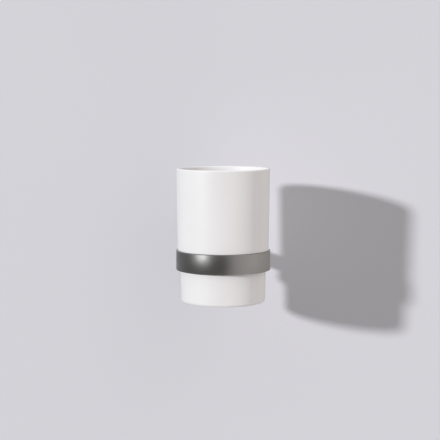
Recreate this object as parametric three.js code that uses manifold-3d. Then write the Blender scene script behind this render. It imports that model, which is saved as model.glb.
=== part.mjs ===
// A wall-mounted tumbler holder. A white tumbler hangs by its shoulder in a flat metal ring, and a round post
// carries the ring out from a wall rosette. The rosette slips over a base that is screwed to the wall, and a
// grub screw from below locks it there.
//
// Millimetres, +Z up. The origin is the centre of the base's back face. The wall is the plane y = 0, the room
// is on the -Y side, and +X is to the right of someone who faces the wall.

import * as THREE from "three";
import { mergeVertices, toCreasedNormals } from "three/addons/utils/BufferGeometryUtils.js";
import Module from "manifold-3d";

const wasm = await Module();
wasm.setup();

// Ring and the insert in it
const AXIS_TO_WALL = 82.5;
const RING_DIAMETER = 70;
const RING_HEIGHT = 14.4;
const RING_WALL = 1.8;
const RING_EDGE_FILLET = 0.3;
const LEDGE_WIDTH = 0.6;
const LEDGE_HEIGHT = 1.2;
const INSERT_WALL = 0.75;
const INSERT_PROUD = 0.05;

// Tumbler
const TUMBLER_HEIGHT = 99;
const RIM_ABOVE_RING = 60.5;
const TUMBLER_WALL = 2.1;
const TUMBLER_FLOOR = 4;
const TUMBLER_FLARE = 0.9;
const SHOULDER_INSET = 1.3;
const SHOULDER_FILLET = 0.15;
const LIP_FILLET = 0.9;
const FOOT_TAPER = 0.75;
const FOOT_FILLET = 2.2;
const FOOT_RIM_WIDTH = 5;
const FOOT_HOLLOW = 0.8;
const INSIDE_STEP_HEIGHT = 3;
const INSIDE_FILLET = 6;

// Post and its two screws
const POST_DIAMETER = 12;
const POST_EDGE_FILLET = 0.4;
const SPIGOT_WALL = 1.3;
const SPIGOT_FLAT_DEPTH = 0.6;
const RING_SCREW_DIAMETER = 4;
const RING_SCREW_HEAD_DIAMETER = 7.5;
const RING_SCREW_HEAD_HEIGHT = 2;
const RING_SCREW_LENGTH = 8;
const RING_SCREW_SOCKET = 2.5;
const RING_SCREW_SOCKET_DEPTH = 1.4;
const POST_SCREW_DIAMETER = 5;
const POST_SCREW_HEAD_DIAMETER = 9.5;
const POST_SCREW_HEAD_HEIGHT = 2.75;
const POST_SCREW_LENGTH = 10;
const POST_SCREW_TIP_FILLET = 0.5;
const POST_SCREW_SOCKET = 3;
const POST_SCREW_SOCKET_DEPTH = 1.6;
const POST_WASHER_DIAMETER = 10;
const POST_WASHER_THICKNESS = 0.8;
const POST_WASHER_TEETH = 12;
const POST_WASHER_TOOTH = 0.8;
const TAPPED_HOLE_END = 2;

// Rosette, base and grub screw
const ROSETTE_WALL = 2.5;
const ROSETTE_FACE = 2.5;
const ROSETTE_AIR = 1.35;
const ROSETTE_FILLET = 1.2;
const ROSETTE_INSIDE_FILLET = 0.8;
const BASE_FLOOR = 2.4;
const BASE_PROUD = 0.3;
const BASE_EDGE_FILLET = 0.5;
const BASE_WEB = 1.3;
const BASE_RIM = 1.8;
const GRUB_DIAMETER = 3;
const GRUB_POINT_DIAMETER = 0.8;
const GRUB_POINT_HEIGHT = 1.1;
const GRUB_BITE = 1;
const GRUB_RECESS = 0.3;
const GRUB_SOCKET = 1.5;
const GRUB_SOCKET_DEPTH = 1.4;

// Fixings in the wall
const WALL_SCREW_DIAMETER = 4;
const WALL_SCREW_HEAD_DIAMETER = 7.6;
const WALL_SCREW_HEAD_HEIGHT = 2.3;
const WALL_SCREW_LENGTH = 38;
const WALL_SCREW_POINT = 5;
const WALL_SCREW_CROSS_WIDTH = 1.1;
const WALL_SCREW_CROSS_LENGTH = 4.2;
const WALL_SCREW_CROSS_DEPTH = 1.4;
const WALL_WASHER_DIAMETER = 9;
const WALL_WASHER_THICKNESS = 0.8;
const WALL_PLUG_WALL = 0.9;
const WALL_PLUG_LENGTH = 30;
const WALL_PLUG_SETBACK = 2.5;
const WALL_PLUG_BARB = 0.4;
const WALL_PLUG_BARB_PITCH = 5;
const WALL_PLUG_SLIT = 0.8;
const WALL_PLUG_NECK = 6;
const SLOT_TRAVEL = 2.5;

// Clearances, and how far a facet may stray from the true curve
const SLIP = 0.25;
const CONTACT = 0.1;
const SEAM = 0.3;
const SCREW_PLAY = 0.3;
const POCKET_PLAY = 0.7;
const CUT_OVERRUN = 1;
const CHORD_ERROR = 0.08;

// Ring, insert and tumbler share one upright axis, and heights are from the ring's middle
const ringRadius = RING_DIAMETER / 2;
const ringBore = ringRadius - RING_WALL;
const ringTop = RING_HEIGHT / 2;
const ringBottom = -ringTop;
const ledgeTop = ringBottom + LEDGE_HEIGHT;
const insertRadius = ringBore - SLIP;
const insertBore = insertRadius - INSERT_WALL;
const insertTop = ringTop + INSERT_PROUD;
const seat = insertTop + CONTACT;
const collarRadius = insertBore - SLIP;
const shoulderRadius = ringRadius - SHOULDER_INSET;
const rimRadius = shoulderRadius + TUMBLER_FLARE;
const footRadius = collarRadius - FOOT_TAPER;
const rim = ringTop + RIM_ABOVE_RING;
const foot = rim - TUMBLER_HEIGHT;

// Post, rosette and base share one level axis, and distances are from the wall
const wallWasherFront = BASE_FLOOR + CONTACT + WALL_WASHER_THICKNESS;
const wallScrewSeat = wallWasherFront + CONTACT;
const wallScrewFront = wallScrewSeat + WALL_SCREW_HEAD_HEIGHT;
const baseFront = wallScrewFront + BASE_PROUD;
const postStack = POST_SCREW_HEAD_HEIGHT + CONTACT + POST_WASHER_THICKNESS + CONTACT;
const rosetteInside = Math.max(baseFront, BASE_FLOOR + postStack) + ROSETTE_AIR;
const rosetteFront = rosetteInside + ROSETTE_FACE;
const postWasherFront = rosetteInside - CONTACT;
const postWasherBack = postWasherFront - POST_WASHER_THICKNESS;
const postScrewSeat = postWasherBack - CONTACT;
const postRadius = POST_DIAMETER / 2;
const postBack = rosetteFront + CONTACT;
const spigotRadius = POST_SCREW_DIAMETER / 2 + SCREW_PLAY + SPIGOT_WALL;
const spigotFlat = spigotRadius - SPIGOT_FLAT_DEPTH;
const ringScrewTop = AXIS_TO_WALL - ringBore - CONTACT;
const postPocket = Math.max(POST_SCREW_HEAD_DIAMETER, POST_WASHER_DIAMETER) / 2 + POCKET_PLAY;
const wallPocket = Math.max(WALL_SCREW_HEAD_DIAMETER, WALL_WASHER_DIAMETER) / 2 + POCKET_PLAY;
const wallScrewOffset = postPocket + BASE_WEB + wallPocket;
const baseRadius = wallScrewOffset + wallPocket + BASE_RIM;
const rosetteBore = baseRadius + SLIP;
const rosetteRadius = rosetteBore + ROSETTE_WALL;
const grubHeight = baseFront / 2;
const grubTop = rosetteRadius - GRUB_RECESS;
const grubTip = baseRadius - GRUB_BITE;
const wallPlugBore = WALL_SCREW_DIAMETER / 2 + SCREW_PLAY;

// The number of equal steps that keeps an arc of this radius and sweep within the facet error
function arcSteps(radius, sweep) {
  const step = 2 * Math.acos(1 - Math.min(CHORD_ERROR / radius, 1));
  return Math.max(2, Math.ceil(sweep / step));
}

// A closed outline through corners [x, y, fillet]; a fillet is made smaller where its sides are too short
function outline(corners) {
  const corner = (i) => {
    const [x, y] = corners.at(i % corners.length);
    return new THREE.Vector2(x, y);
  };
  return corners.flatMap(([, , fillet = 0], i) => {
    const here = corner(i);
    if (fillet === 0) return [here];
    const back = corner(i - 1).sub(here);
    const on = corner(i + 1).sub(here);
    const reach = Math.min(back.length(), on.length()) / 2;
    back.normalize();
    on.normalize();
    const half = Math.acos(back.dot(on)) / 2;
    const radius = Math.min(fillet, reach * Math.tan(half));
    const start = here.clone().addScaledVector(back, radius / Math.tan(half));
    const middle = back.clone().add(on).normalize().multiplyScalar(radius / Math.sin(half)).add(here);
    const sweep = Math.PI - 2 * half;
    const turn = Math.sign(on.cross(back)) * sweep;
    const steps = arcSteps(radius, sweep);
    const at = (k) => start.clone().rotateAround(middle, (turn * k) / steps);
    return Array.from({ length: steps + 1 }, (_, k) => at(k));
  });
}

// A body of revolution about Z; the outline [radius, height, fillet] runs up on its outer side
function turned(corners) {
  const points = outline(corners);
  const widest = Math.max(...points.map((point) => point.x));
  return new THREE.LatheGeometry([...points, points[0]], arcSteps(widest, 2 * Math.PI)).rotateX(Math.PI / 2);
}

function rod(radius, from, to) {
  return turned([[0, from], [radius, from], [radius, to], [0, to]]);
}

function tube(bore, radius, from, to) {
  return turned([[bore, from], [radius, from], [radius, to], [bore, to]]);
}

function prism(points, from, to) {
  const shape = new THREE.Shape(points);
  return new THREE.ExtrudeGeometry(shape, { depth: to - from, bevelEnabled: false }).translate(0, 0, from);
}

function block(width, height, from, to) {
  return new THREE.BoxGeometry(width, height, to - from).translate(0, 0, (from + to) / 2);
}

function polar(radius, angle) {
  return new THREE.Vector2(radius * Math.cos(angle), radius * Math.sin(angle));
}

// A regular hexagon with this width across its flats
function hexagon(flats) {
  const sides = 6;
  const corner = flats / 2 / Math.cos(Math.PI / sides);
  return Array.from({ length: sides }, (_, k) => polar(corner, (2 * Math.PI * k) / sides));
}

// A level slot with round ends, as long as its travel and one width
function slotOutline(width, travel) {
  const side = (travel + width) / 2;
  const half = width / 2;
  return outline([[-side, -half, half], [side, -half, half], [side, half, half], [-side, half, half]]);
}

// A disc with two upright flats
function flattedDisc(radius, flat) {
  const start = Math.acos(flat / radius);
  const sweep = Math.PI - 2 * start;
  const steps = arcSteps(radius, sweep);
  const arc = Array.from({ length: steps + 1 }, (_, k) => polar(radius, start + (sweep * k) / steps));
  return [...arc, ...arc.map((point) => point.clone().negate())];
}

// A solid from a closed geometry, without the collapsed triangles on an axis of revolution
function solid(geometry) {
  geometry.deleteAttribute("normal");
  geometry.deleteAttribute("uv");
  const merged = mergeVertices(geometry);
  const triangles = [];
  for (let i = 0; i < merged.index.count; i += 3) {
    const [a, b, c] = merged.index.array.slice(i, i + 3);
    if (a !== b && b !== c && c !== a) triangles.push(a, b, c);
  }
  return new wasm.Manifold(new wasm.Mesh({
    numProp: 3,
    vertProperties: merged.attributes.position.array,
    triVerts: new Uint32Array(triangles),
  }));
}

// Turns a shape on the level axis, measured out from the wall, into the upright axis of the ring
function seenFromRing(geometry) {
  return geometry.rotateX(Math.PI / 2).translate(0, AXIS_TO_WALL, 0);
}

// Countersunk head and shank; with play, the hole that takes them, which runs out past the head
function ringScrewShape(play = 0, overrun = 0) {
  const head = RING_SCREW_HEAD_DIAMETER / 2 + play;
  const shank = RING_SCREW_DIAMETER / 2 + play;
  const end = ringScrewTop - RING_SCREW_LENGTH - (play ? TAPPED_HOLE_END : 0);
  const top = ringScrewTop + overrun;
  return turned([
    [0, end],
    [shank, end],
    [shank, ringScrewTop - RING_SCREW_HEAD_HEIGHT],
    [head, ringScrewTop],
    [head, top],
    [0, top],
  ]);
}

// The point is a cone, so the dimple in the base is the same shape with play all round
function grubShape(play = 0) {
  const shank = GRUB_DIAMETER / 2 + play;
  const tip = grubTip - play;
  return turned([
    [0, tip],
    [GRUB_POINT_DIAMETER / 2 + play, tip],
    [shank, tip + GRUB_POINT_HEIGHT],
    [shank, grubTop + play],
    [0, grubTop + play],
  ]);
}

// Places a shape that points out along Z so that it points straight down from the level axis
function pointedDown(geometry) {
  return geometry.rotateX(Math.PI / 2).translate(0, 0, grubHeight);
}

function tumbler() {
  const hollow = footRadius - FOOT_RIM_WIDTH;
  return solid(turned([
    [0, foot + FOOT_HOLLOW],
    [hollow, foot + FOOT_HOLLOW],
    [hollow + FOOT_HOLLOW, foot],
    [footRadius, foot, FOOT_FILLET],
    [collarRadius, seat],
    [shoulderRadius, seat, SHOULDER_FILLET],
    [rimRadius, rim, LIP_FILLET],
    [rimRadius - TUMBLER_WALL, rim, LIP_FILLET],
    [shoulderRadius - TUMBLER_WALL, seat + INSIDE_STEP_HEIGHT, INSIDE_FILLET],
    [collarRadius - TUMBLER_WALL, seat - INSIDE_STEP_HEIGHT, INSIDE_FILLET],
    [footRadius - TUMBLER_WALL, foot + TUMBLER_FLOOR, INSIDE_FILLET],
    [0, foot + TUMBLER_FLOOR],
  ]));
}

function ring() {
  const band = solid(turned([
    [ringBore - LEDGE_WIDTH, ringBottom],
    [ringRadius, ringBottom, RING_EDGE_FILLET],
    [ringRadius, ringTop, RING_EDGE_FILLET],
    [ringBore, ringTop],
    [ringBore, ledgeTop],
    [ringBore - LEDGE_WIDTH, ledgeTop],
  ]));
  return band.subtract(solid(seenFromRing(ringScrewShape(SCREW_PLAY, CUT_OVERRUN))));
}

function ringInsert() {
  return solid(tube(insertBore, insertRadius, ledgeTop + CONTACT, insertTop));
}

function ringScrew() {
  const socket = prism(hexagon(RING_SCREW_SOCKET), ringScrewTop - RING_SCREW_SOCKET_DEPTH,
    ringScrewTop + CUT_OVERRUN);
  return solid(ringScrewShape()).subtract(solid(socket));
}

function post() {
  const bar = solid(turned([
    [0, postBack],
    [postRadius, postBack, POST_EDGE_FILLET],
    [postRadius, AXIS_TO_WALL],
    [0, AXIS_TO_WALL],
  ]));
  const spigot = solid(prism(flattedDisc(spigotRadius, spigotFlat), rosetteInside + CONTACT,
    postBack + CUT_OVERRUN));
  const saddleRadius = ringRadius + SEAM;
  const saddle = new THREE.CylinderGeometry(saddleRadius, saddleRadius, RING_HEIGHT + POST_DIAMETER,
    arcSteps(saddleRadius, 2 * Math.PI)).translate(0, 0, AXIS_TO_WALL);
  const tapped = rod(POST_SCREW_DIAMETER / 2 + SCREW_PLAY, 0,
    postScrewSeat + POST_SCREW_LENGTH + TAPPED_HOLE_END);
  return bar.add(spigot)
    .subtract(solid(saddle))
    .subtract(solid(tapped))
    .subtract(solid(ringScrewShape(SCREW_PLAY, CUT_OVERRUN)));
}

function rosette() {
  const cup = solid(turned([
    [rosetteBore, SEAM],
    [rosetteRadius, SEAM],
    [rosetteRadius, rosetteFront, ROSETTE_FILLET],
    [0, rosetteFront],
    [0, rosetteInside],
    [rosetteBore, rosetteInside, ROSETTE_INSIDE_FILLET],
  ]));
  const spigotHole = prism(flattedDisc(spigotRadius + SLIP, spigotFlat + SLIP), 0,
    rosetteFront + CUT_OVERRUN);
  const grubHole = pointedDown(rod(GRUB_DIAMETER / 2 + SCREW_PLAY, baseRadius - CUT_OVERRUN,
    rosetteRadius + CUT_OVERRUN));
  return cup.subtract(solid(spigotHole)).subtract(solid(grubHole));
}

function postScrew() {
  const head = POST_SCREW_HEAD_DIAMETER / 2;
  const shank = POST_SCREW_DIAMETER / 2;
  const back = postScrewSeat - POST_SCREW_HEAD_HEIGHT;
  const tip = postScrewSeat + POST_SCREW_LENGTH;
  const socket = prism(hexagon(POST_SCREW_SOCKET), back - CUT_OVERRUN, back + POST_SCREW_SOCKET_DEPTH);
  const body = solid(turned([
    [0, back],
    [head, back, POST_SCREW_HEAD_HEIGHT],
    [head, postScrewSeat],
    [shank, postScrewSeat],
    [shank, tip, POST_SCREW_TIP_FILLET],
    [0, tip],
  ]));
  return body.subtract(solid(socket));
}

function postWasher() {
  const outer = POST_WASHER_DIAMETER / 2;
  const root = outer - POST_WASHER_TOOTH;
  const tooth = [outer, outer, root, root];
  const corners = POST_WASHER_TEETH * tooth.length;
  const star = Array.from({ length: corners }, (_, k) => {
    return polar(tooth[k % tooth.length], (2 * Math.PI * k) / corners);
  });
  const hole = rod(POST_SCREW_DIAMETER / 2 + SCREW_PLAY, postWasherBack - CUT_OVERRUN,
    postWasherFront + CUT_OVERRUN);
  return solid(prism(star, postWasherBack, postWasherFront)).subtract(solid(hole));
}

function mountingBase() {
  const puck = solid(turned([
    [0, 0],
    [baseRadius, 0],
    [baseRadius, baseFront, BASE_EDGE_FILLET],
    [0, baseFront],
  ]));
  const front = baseFront + CUT_OVERRUN;
  const slotWidth = WALL_SCREW_DIAMETER + 2 * SCREW_PLAY;
  const slot = () => prism(slotOutline(slotWidth, SLOT_TRAVEL), -CUT_OVERRUN, front);
  const pocket = () => rod(wallPocket, BASE_FLOOR, front);
  return [
    rod(postPocket, BASE_FLOOR, front),
    pocket().translate(-wallScrewOffset, 0, 0),
    pocket().translate(wallScrewOffset, 0, 0),
    slot().translate(-wallScrewOffset, 0, 0),
    slot().rotateZ(Math.PI / 2).translate(wallScrewOffset, 0, 0),
    pointedDown(grubShape(SCREW_PLAY)),
  ].reduce((base, cut) => base.subtract(solid(cut)), puck);
}

function grubScrew() {
  const socket = prism(hexagon(GRUB_SOCKET), grubTop - GRUB_SOCKET_DEPTH, grubTop + CUT_OVERRUN);
  return solid(pointedDown(grubShape())).subtract(solid(pointedDown(socket)));
}

function wallScrew() {
  const head = WALL_SCREW_HEAD_DIAMETER / 2;
  const shank = WALL_SCREW_DIAMETER / 2;
  const tip = wallScrewSeat - WALL_SCREW_LENGTH;
  const crossFloor = wallScrewFront - WALL_SCREW_CROSS_DEPTH;
  const crossTop = wallScrewFront + CUT_OVERRUN;
  const body = solid(turned([
    [0, tip],
    [shank, tip + WALL_SCREW_POINT],
    [shank, wallScrewSeat],
    [head, wallScrewSeat],
    [head, wallScrewFront, WALL_SCREW_HEAD_HEIGHT],
    [0, wallScrewFront],
  ]));
  return body
    .subtract(solid(block(WALL_SCREW_CROSS_LENGTH, WALL_SCREW_CROSS_WIDTH, crossFloor, crossTop)))
    .subtract(solid(block(WALL_SCREW_CROSS_WIDTH, WALL_SCREW_CROSS_LENGTH, crossFloor, crossTop)));
}

function wallWasher() {
  return solid(tube(WALL_SCREW_DIAMETER / 2 + SCREW_PLAY, WALL_WASHER_DIAMETER / 2, BASE_FLOOR + CONTACT,
    wallWasherFront));
}

// Barbed sleeve, slit from its inner end up to a closed neck
function wallPlug() {
  const outer = wallPlugBore + WALL_PLUG_WALL;
  const top = -WALL_PLUG_SETBACK;
  const end = top - WALL_PLUG_LENGTH;
  const barbs = Math.floor((WALL_PLUG_LENGTH - WALL_PLUG_NECK) / WALL_PLUG_BARB_PITCH);
  const flanks = Array.from({ length: barbs }, (_, k) => {
    const low = end + k * WALL_PLUG_BARB_PITCH;
    return [[outer - WALL_PLUG_BARB, low], [outer, low + WALL_PLUG_BARB_PITCH]];
  });
  const sleeve = solid(turned([[wallPlugBore, end], ...flanks.flat(), [outer, top], [wallPlugBore, top]]));
  const slit = block(2 * (outer + CUT_OVERRUN), WALL_PLUG_SLIT, end - CUT_OVERRUN, top - WALL_PLUG_NECK);
  return sleeve.subtract(solid(slit));
}

const GUNMETAL = { color: 0x4a4947, roughness: 0.34, metalness: 1 };
const WHITE_SATIN = { color: 0xf1efec, roughness: 0.42, metalness: 0 };
const STEEL = { color: 0xb9bbbd, roughness: 0.32, metalness: 1 };
const CAST_ZINC = { color: 0x9a9c9e, roughness: 0.5, metalness: 1 };
const SMOKE_PLASTIC = { color: 0x595959, roughness: 0.6, metalness: 0 };
const GREY_NYLON = { color: 0x8d9196, roughness: 0.65, metalness: 0 };

// One named mesh with a material of its own, which shades edges sharper than the crease angle as hard
function piece(name, shape, finish) {
  const { vertProperties, triVerts } = shape.getMesh();
  const geometry = new THREE.BufferGeometry();
  geometry.setAttribute("position", new THREE.BufferAttribute(vertProperties, 3));
  geometry.setIndex(new THREE.BufferAttribute(triVerts, 1));
  const creaseAngle = Math.PI / 6;
  const shaded = toCreasedNormals(geometry, creaseAngle);
  const mesh = new THREE.Mesh(shaded, new THREE.MeshStandardMaterial(finish));
  mesh.name = name;
  return mesh;
}

const cup = new THREE.Group();
cup.name = "cup";
cup.position.y = -AXIS_TO_WALL;
cup.add(
  piece("tumbler", tumbler(), WHITE_SATIN),
  piece("ring", ring(), GUNMETAL),
  piece("ring_insert", ringInsert(), SMOKE_PLASTIC),
);

// Here Z runs out from the wall and Y runs up
const bracket = new THREE.Group();
bracket.name = "bracket";
bracket.rotation.x = Math.PI / 2;
bracket.add(
  piece("ring_screw", ringScrew(), STEEL),
  piece("post", post(), GUNMETAL),
  piece("rosette", rosette(), GUNMETAL),
  piece("post_screw", postScrew(), STEEL),
  piece("post_washer", postWasher(), STEEL),
  piece("mounting_base", mountingBase(), CAST_ZINC),
  piece("grub_screw", grubScrew(), STEEL),
);
for (const [side, offset] of [["left", -wallScrewOffset], ["right", wallScrewOffset]]) {
  const fixings = [
    piece(`wall_screw_${side}`, wallScrew(), STEEL),
    piece(`wall_washer_${side}`, wallWasher(), STEEL),
    piece(`wall_plug_${side}`, wallPlug(), GREY_NYLON),
  ];
  for (const fixing of fixings) fixing.position.x = offset;
  bracket.add(...fixings);
}

const holder = new THREE.Group();
holder.name = "tumbler_holder";
holder.add(cup, bracket);

export default holder;
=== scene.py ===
"""Wall-mounted tumbler holder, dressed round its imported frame.

A white shouldered tumbler hangs in a dark metal ring. A round post carries the ring out from a rosette,
which covers a base that is screwed to the wall. Every piece is a surface worked out with numpy, in metres and
in the frame's own axes: the wall is the plane y = 0, the room is on the -Y side and +Z is up.
"""

import math

import bpy
import numpy as np
from bpy.props import FloatProperty, FloatVectorProperty, PointerProperty
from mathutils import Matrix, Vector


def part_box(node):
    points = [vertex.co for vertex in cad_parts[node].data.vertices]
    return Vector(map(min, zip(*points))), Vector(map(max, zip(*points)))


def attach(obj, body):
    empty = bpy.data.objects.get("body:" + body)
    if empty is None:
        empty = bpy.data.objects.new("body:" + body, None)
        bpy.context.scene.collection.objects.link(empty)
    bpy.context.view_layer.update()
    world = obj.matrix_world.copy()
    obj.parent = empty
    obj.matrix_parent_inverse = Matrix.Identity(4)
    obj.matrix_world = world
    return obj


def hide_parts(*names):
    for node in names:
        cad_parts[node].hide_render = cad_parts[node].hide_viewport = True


bl_info = {
    "name": "Tumbler Holder",
    "version": (1, 0, 0),
    "blender": (4, 5, 0),
    "location": "3D View > Sidebar > Holder",
    "description": "Builds the surfaces, finishes and stage of a wall-mounted tumbler holder",
    "category": "Object",
}

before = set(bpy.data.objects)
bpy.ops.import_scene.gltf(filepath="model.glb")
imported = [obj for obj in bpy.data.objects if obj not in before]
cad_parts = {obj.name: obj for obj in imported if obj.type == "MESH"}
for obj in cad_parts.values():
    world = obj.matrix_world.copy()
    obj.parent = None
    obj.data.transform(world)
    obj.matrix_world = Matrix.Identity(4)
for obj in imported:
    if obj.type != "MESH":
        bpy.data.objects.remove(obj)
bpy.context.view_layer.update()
TUMBLER_LOW, TUMBLER_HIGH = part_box("tumbler")
RING_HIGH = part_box("ring")[1]
INSERT_LOW, INSERT_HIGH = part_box("ring_insert")
ROSETTE_LOW, ROSETTE_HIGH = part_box("rosette")
BASE_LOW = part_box("mounting_base")[0]
WALL_SCREW_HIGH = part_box("wall_screw_right")[1]

# A cutter is turned by this small angle, so that none of its corners meets one of the piece's
CUTTER_TURN = 0.013
# Gap between the tumbler's shoulder and the insert that it rests on
SEAT_GAP = 0.0001
# The most that one step of an arc turns, and the least turn that shows as a sharp edge
ARC_STEP = math.radians(8)
SHARP_TURN = math.radians(38)
# Kinds of the groups' sockets, apart from those that are numbers
SOCKET_KINDS = {
    "Coordinates": "NodeSocketVector",
    "Colour": "NodeSocketColor",
    "Second Colour": "NodeSocketColor",
}
# Turn that brings the axis of a piece that lies level to Z
LEVEL_TO_Z = (-math.pi / 2, 0.0, 0.0)


def length(name, description, default):
    """A length in metres."""
    return FloatProperty(name=name, description=description, default=default, min=0.0, precision=5,
                         unit="LENGTH", subtype="DISTANCE")


def place(name, description, default):
    """A place along an axis, in metres."""
    return FloatProperty(name=name, description=description, default=default, precision=5, unit="LENGTH")


def angle(name, description, degrees):
    """An angle, given in degrees and kept in radians."""
    return FloatProperty(name=name, description=description, default=math.radians(degrees), subtype="ANGLE")


def amount(name, description, default):
    """A plain number from 0 up."""
    return FloatProperty(name=name, description=description, default=default, min=0.0)


def share(name, description, default):
    """A share from 0 to 1."""
    return FloatProperty(name=name, description=description, default=default, min=0.0, max=1.0,
                         subtype="FACTOR")


def colour(name, description, default):
    """A colour, in linear values."""
    return FloatVectorProperty(name=name, description=description, default=default, size=3, min=0.0, max=1.0,
                               subtype="COLOR")


class TumblerSizes(bpy.types.PropertyGroup):
    """Sizes of the tumbler; radii are from its own axis and heights from the ring's middle."""

    axis: length("Axis to wall", "Distance of the tumbler's and ring's axis from the wall", 0.0825)
    foot: place("Foot", "Height of the foot", TUMBLER_LOW.z)
    rim: place("Rim", "Height of the rim", TUMBLER_HIGH.z)
    seat: place("Seat", "Height of the shoulder's underside", INSERT_HIGH.z + SEAT_GAP)
    rim_radius: length("Rim radius", "Outer radius at the rim", TUMBLER_HIGH.x)
    shoulder_radius: length("Shoulder radius", "Outer radius just above the ring", 0.03369)
    collar_radius: length("Collar radius", "Outer radius inside the ring", 0.03194)
    foot_radius: length("Foot radius", "Outer radius at the foot", 0.03119)
    wall: length("Wall", "Thickness of the side wall", 0.0021)
    floor: length("Floor", "Thickness of the floor", 0.004)
    lip_fillet: length("Lip rounding", "Rounding of both edges of the rim", 0.00095)
    shoulder_fillet: length("Shoulder rounding", "Rounding of the shoulder's lower edge", 0.00015)
    foot_fillet: length("Foot rounding", "Rounding of the foot's outer edge", 0.0022)
    foot_ring: length("Foot ring", "Width of the ring that the foot stands on", 0.005)
    foot_hollow: length("Foot hollow", "Depth of the hollow under the foot", 0.0008)
    inside_step: length("Inside step", "Half the height over which the inside follows the shoulder", 0.003)
    inside_fillet: length("Inside rounding", "Rounding inside at the floor and the shoulder", 0.006)


class RingSizes(bpy.types.PropertyGroup):
    """Sizes of the ring, its plastic insert and the post that carries them."""

    radius: length("Ring radius", "Outer radius of the ring", RING_HIGH.x)
    half_height: length("Half height", "Half the ring's height", RING_HIGH.z)
    wall: length("Ring wall", "Thickness of the ring", 0.0018)
    edge: length("Edge rounding", "Rounding of the ring's outer edges", 0.0003)
    crown: length("Crown", "How far the polished face seems to swell at its middle", 0.00074)
    ledge_width: length("Ledge width", "How far the ledge under the insert reaches inwards", 0.0006)
    ledge_height: length("Ledge height", "Height of the ledge under the insert", 0.0012)
    insert_wall: length("Insert wall", "Thickness of the insert", 0.00075)
    insert_radius: length("Insert radius", "Outer radius of the insert", 0.03294)
    post_radius: length("Post radius", "Radius of the post", 0.006)
    post_back: length("Post back", "Distance of the post's shoulder from the wall", 0.0101)
    spigot_radius: length("Spigot radius", "Radius of the post's end in the rosette", 0.0041)
    spigot_flat: length("Spigot flat", "Distance of the spigot's two flats from its axis", 0.0035)
    spigot_back: length("Spigot back", "Distance of the spigot's end from the wall", 0.0076)
    saddle_gap: length("Saddle gap", "Gap between the post's end and the ring", 0.0003)


class BaseSizes(bpy.types.PropertyGroup):
    """Sizes of the rosette, the base in it and the wall fixings; depths are from the wall."""

    rosette_radius: length("Rosette radius", "Outer radius of the rosette", ROSETTE_HIGH.x)
    rosette_front: length("Rosette front", "Depth of the rosette's face", -ROSETTE_LOW.y)
    rosette_back: length("Rosette back", "Depth of the rosette's rear edge", -ROSETTE_HIGH.y)
    rosette_wall: length("Rosette wall", "Thickness of the rosette", 0.0025)
    rosette_edge: length("Rosette edge", "Rounding of the rosette's front edge", 0.0012)
    base_radius: length("Base radius", "Radius of the mounting base", 0.01915)
    base_front: length("Base front", "Depth of the base's front face", -BASE_LOW.y)
    base_floor: length("Base floor", "Thickness of the base under the screw heads", 0.0024)
    screw_offset: length("Screw offset", "Distance of each wall screw from the middle", 0.0122)
    slot_travel: length("Slot travel", "How far a wall screw can move along its slot", 0.0025)
    screw_tip: length("Screw reach", "How far the wall screws reach into the wall", WALL_SCREW_HIGH.y)
    plug_length: length("Plug length", "Length of the wall plugs", 0.03)
    plug_setback: length("Plug setback", "How far the plugs lie behind the wall's face", 0.0025)


class Finishes(bpy.types.PropertyGroup):
    """Colours and gloss of the finishes."""

    glaze: colour("Glaze", "White of the tumbler's satin glaze", (0.95, 0.937, 0.946))
    glaze_shade: colour("Glaze shade", "Slightly warmer white where the glaze is thin", (0.93, 0.914, 0.916))
    bisque: colour("Bisque", "Bare fired clay of the foot ring", (0.74, 0.70, 0.64))
    gunmetal: colour("Gunmetal", "Dark coating of the ring, post and rosette", (0.37, 0.368, 0.36))
    gunmetal_shade: colour("Gunmetal shade", "Darker tone in the same coating", (0.345, 0.343, 0.336))
    # Painted shade: a darker colour along the coating's edges stands in for shade on its rounded edges
    gunmetal_painted_edge_shade: colour("Gunmetal edge", "Darker tone along edges", (0.34, 0.335, 0.325))
    steel: colour("Steel", "Screws and washers", (0.62, 0.62, 0.61))
    steel_shade: colour("Steel shade", "Duller tone in the plating", (0.47, 0.46, 0.43))
    zinc: colour("Zinc", "Cast metal of the base", (0.46, 0.465, 0.475))
    zinc_shade: colour("Zinc shade", "Darker skin of the casting", (0.39, 0.395, 0.405))
    sleeve: colour("Insert plastic", "Grey plastic of the ring's insert", (0.10, 0.10, 0.10))
    sleeve_shade: colour("Insert plastic shade", "Scuffed tone of the same plastic", (0.125, 0.125, 0.125))
    nylon: colour("Nylon", "Grey of the wall plugs", (0.27, 0.285, 0.305))
    nylon_shade: colour("Nylon shade", "Paler tone where the nylon is thin", (0.34, 0.355, 0.37))
    satin: share("Satin", "Roughness of the dark coating", 0.4)
    glaze_satin: share("Glaze satin", "Roughness of the glaze", 0.35)


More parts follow.
